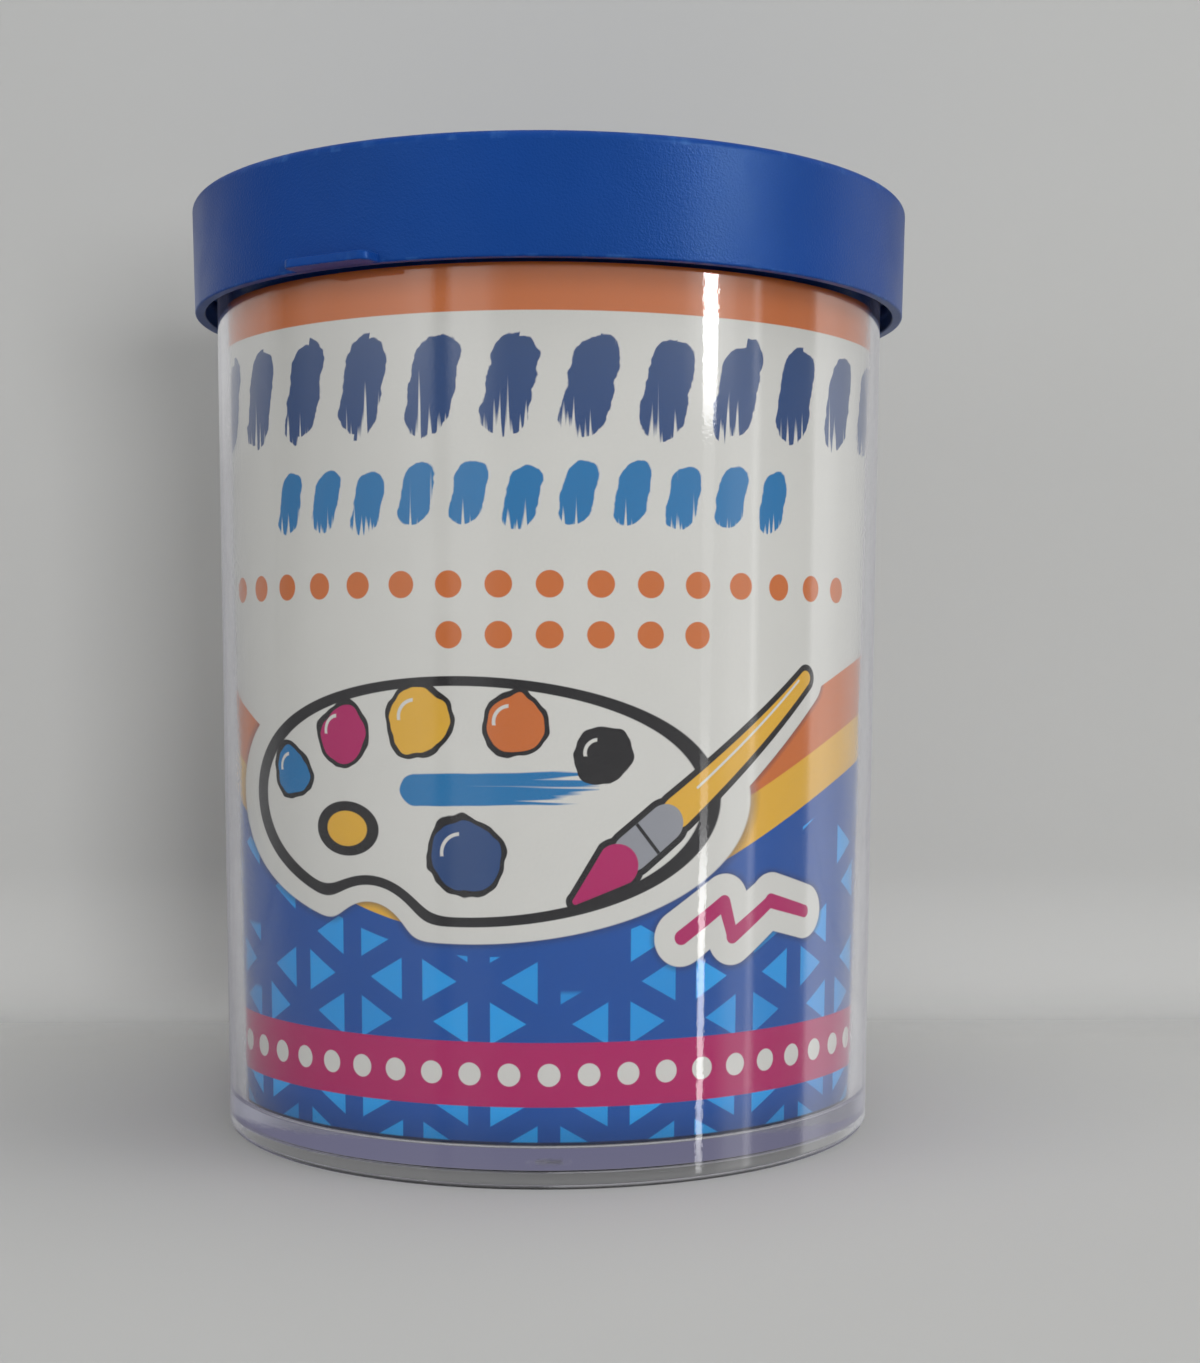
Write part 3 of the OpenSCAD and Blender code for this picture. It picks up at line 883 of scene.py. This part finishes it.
# The sweep's outline is a quarter of a circle up from the floor, and then a straight wall
bend = np.linspace(0, np.pi / 2, 25)
sweep_y = np.append(wall_y - sweep_r * (1 - np.sin(bend)), np.full(wall_rows, wall_y))
sweep_z = np.append(sweep_r * (1 - np.cos(bend)), np.linspace(sweep_r, wall_h, wall_rows + 1)[1:])
foot_fade = eased(np.append(bend / math.radians(50), np.ones(wall_rows)))
x, z = np.meshgrid(np.linspace(-wall_half_w, wall_half_w, 81), sweep_z)
cover = eased((wall_half_w - np.abs(x)) / side_fade) * eased((wall_h - z) / top_fade)
cover = cover * foot_fade[:, None]
wall_grid = np.stack([x, np.broadcast_to(sweep_y[:, None], x.shape), z], -1)
wall_card = open_surface("wall_card", wall_grid, pale_card("wall_card", 0.0), "cover", cover)
wall_card.visible_glossy = False

# Room for the reflections: a ring of soft bright and dim panels over a dark floor, which only mirror
# rays see. It stands in for the windows and dark gaps of an ordinary room. The strip lamp, wide above
# and narrow below, makes the streak on the right of the wall.
room_r = 1.0
room_low, room_high = -0.31, 0.75
# Pairs of a turn in degrees, which goes from the front to the right, and the brightness there
PANELS = (
    # The room behind on the left, and a dark gap that edges the wall of the cup
    (-180, 0.3), (-150, 0.7), (-108, 0.58), (-98, 0.03), (-93, 0.13), (-85, 0.5), (-72, 0.65),
    # A bright window on the left, with a bar in it
    (-50, 1.3), (-43, 1.8), (-39, 1.5), (-36.5, 0.2), (-34, 0.2), (-31, 1.65), (-21.5, 1.5),
    # The dim side that the camera stands on
    (-17, 0.75), (-13, 0.5), (35, 0.85),
    # A broad panel on the right, with a brighter edge
    (50, 1.3), (62, 1.4), (66, 1.1), (69, 1.1), (71.2, 2.3), (74, 0.3), (80, 0.1),
    # A dark gap, and the lighter room behind on the right
    (95, 0.1), (97.5, 0.4), (100, 1.6), (105, 1.5), (116, 0.85), (132, 0.6), (180, 0.4),
)
# Rows of a height, and the strip's brightness, turn and half width in degrees there
STRIP = (
    (-0.30, 0, 52.0, 1.0), (-0.25, 8, 52.0, 1.1), (-0.12, 10, 52.2, 1.2), (-0.08, 3, 52.4, 1.5),
    (0.0, 0.4, 52.8, 1.8), (0.155, 0.8, 53.2, 2.2), (0.20, 26, 53.3, 2.5), (0.75, 26, 53.3, 2.7),
)
# Pairs of a height, and the brightness of the strip's halo or the share of the panels' own there
HALO = ((0.15, 0), (0.22, 2.4), (0.28, 2.8), (0.33, 14), (0.50, 14), (0.60, 0))
DIM = ((-0.20, 0.10), (-0.04, 0.30), (0.15, 0.50), (0.21, 1.0))
halo_half = 10
strip_soft = 0.5


def panel_glow():
    """Emission at the strength that the attribute "glow" gives."""
    material, tree, out = new_material("panel_glow")
    glow = node(tree, "ShaderNodeAttribute", attribute_name="glow").outputs["Fac"]
    light = node(tree, "ShaderNodeEmission", {"Strength": glow}).outputs[0]
    tree.links.new(light, out.inputs["Surface"])
    return material


def level_of(places, at):
    """Straight lines through (place, level) pairs, read at another place."""
    return np.interp(at, *np.array(places).T)


turn = np.linspace(-180, 180, 1081)[:, None]
room_z = np.linspace(room_low, room_high, 54)[None]
# The lowest ring is drawn in to the axis, and makes the floor
ring_out = room_r * (room_z > room_low)
room_grid = np.stack([ring_out * np.sin(np.radians(turn)), -ring_out * np.cos(np.radians(turn)),
                      room_z + 0 * turn], -1)

# The strip leans a little with height, and its halo falls off evenly to both sides
strip_z, strip_level, strip_turn, strip_half = np.array(STRIP).T
off_strip = np.abs(turn - np.interp(room_z, strip_z, strip_turn))
on_strip = np.clip((np.interp(room_z, strip_z, strip_half) - off_strip) / strip_soft + 0.5, 0, 1)
strip = on_strip * np.interp(room_z, strip_z, strip_level)
halo = np.clip(1 - off_strip / halo_half, 0, 1) * level_of(HALO, room_z)

# The panels are dim at the bottom, but not on the right, and less so behind on the left. High up
# behind the cup the room is darker, and its floor is nearly black
dim = level_of(DIM, room_z)
dim = dim + (1 - dim) * (eased((turn - 56) / 12) + eased((-turn - 135) / 25) * 0.4)
glow = level_of(PANELS, turn) * dim + halo + strip
high_behind = eased((np.abs(turn) - 95) / 40) * eased((room_z - 0.27) / 0.05)
near_floor = np.clip((room_z - room_low) / 0.04, 0.05, 1)
glow = glow * near_floor * (1 - 0.6 * high_behind)
room = open_surface("room_panels", room_grid, panel_glow(), "glow", glow)
for ray in ("camera", "diffuse", "transmission", "volume_scatter", "shadow"):
    setattr(room, "visible_" + ray, False)

# Light: a small lamp near the camera that throws the shadow on the backdrop, a large one high on the
# right, two weak ones at the right and the left, and an even sky. Seen directly, the sky has the
# tone of the lit card.
SKY_LIGHT = (0.97, 0.985, 1, 1)
SKY_SEEN = (0.44, 0.438, 0.427, 1)
lamp_away = 0.95
world = bpy.data.worlds.new("sky")
bpy.context.scene.world = world
world.use_nodes = True
sky = world.node_tree
sky_path = node(sky, "ShaderNodeLightPath").outputs
seen = calculated(sky, "MAXIMUM", sky_path["Is Camera Ray"], sky_path["Is Transmission Ray"])
lit = node(sky, "ShaderNodeBackground", {"Color": SKY_LIGHT, "Strength": 0.30}).outputs[0]
shown = node(sky, "ShaderNodeBackground", {"Color": SKY_SEEN, "Strength": 1.0}).outputs[0]
sky.links.new(either_shader(sky, seen, lit, shown), sky.nodes["World Output"].inputs["Surface"])


def soft_lamp(name, *, turn, lift, size, power):
    """A square lamp on a sphere round the cup's middle, facing it. turn goes from the front to the
    right and lift up from the horizon, both in degrees."""
    lamp = bpy.data.lights.new(name, "AREA")
    lamp.size = size
    lamp.energy = power
    a, e = math.radians(turn), math.radians(lift)
    way = np.array([math.sin(a) * math.cos(e), -math.cos(a) * math.cos(e), math.sin(e)])
    holder = bpy.data.objects.new(name, lamp)
    holder.location = way * lamp_away + (0, 0, cup_top / 2)
    holder.rotation_euler = (math.pi / 2 - e, 0, a)
    bpy.context.scene.collection.objects.link(holder)
    holder.visible_camera = False
    holder.visible_glossy = False
    holder.visible_transmission = False


soft_lamp("front_lamp", turn=18, lift=2, size=0.24, power=3.3)
soft_lamp("right_lamp", turn=72, lift=25, size=0.50, power=0.9)
soft_lamp("high_lamp", turn=40, lift=76, size=0.80, power=5.0)
soft_lamp("left_lamp", turn=-70, lift=8, size=0.50, power=1.4)

# Camera: level with the cup's middle and 215 mm in front of its axis, turned slightly to the right.
camera = bpy.data.cameras.new("camera")
camera.sensor_fit = "AUTO"
camera.sensor_width = 36
camera.lens = 52.97
camera_holder = bpy.data.objects.new("camera", camera)
camera_holder.location = (0, -0.2147, 0.04788)
camera_yaw, camera_pitch, camera_roll = 0.0251, -0.0094, -0.0017
camera_holder.rotation_euler = (math.pi / 2 + camera_pitch, camera_roll, -camera_yaw)
bpy.context.scene.collection.objects.link(camera_holder)
bpy.context.scene.camera = camera_holder
bpy.context.scene.view_settings.view_transform = "Standard"
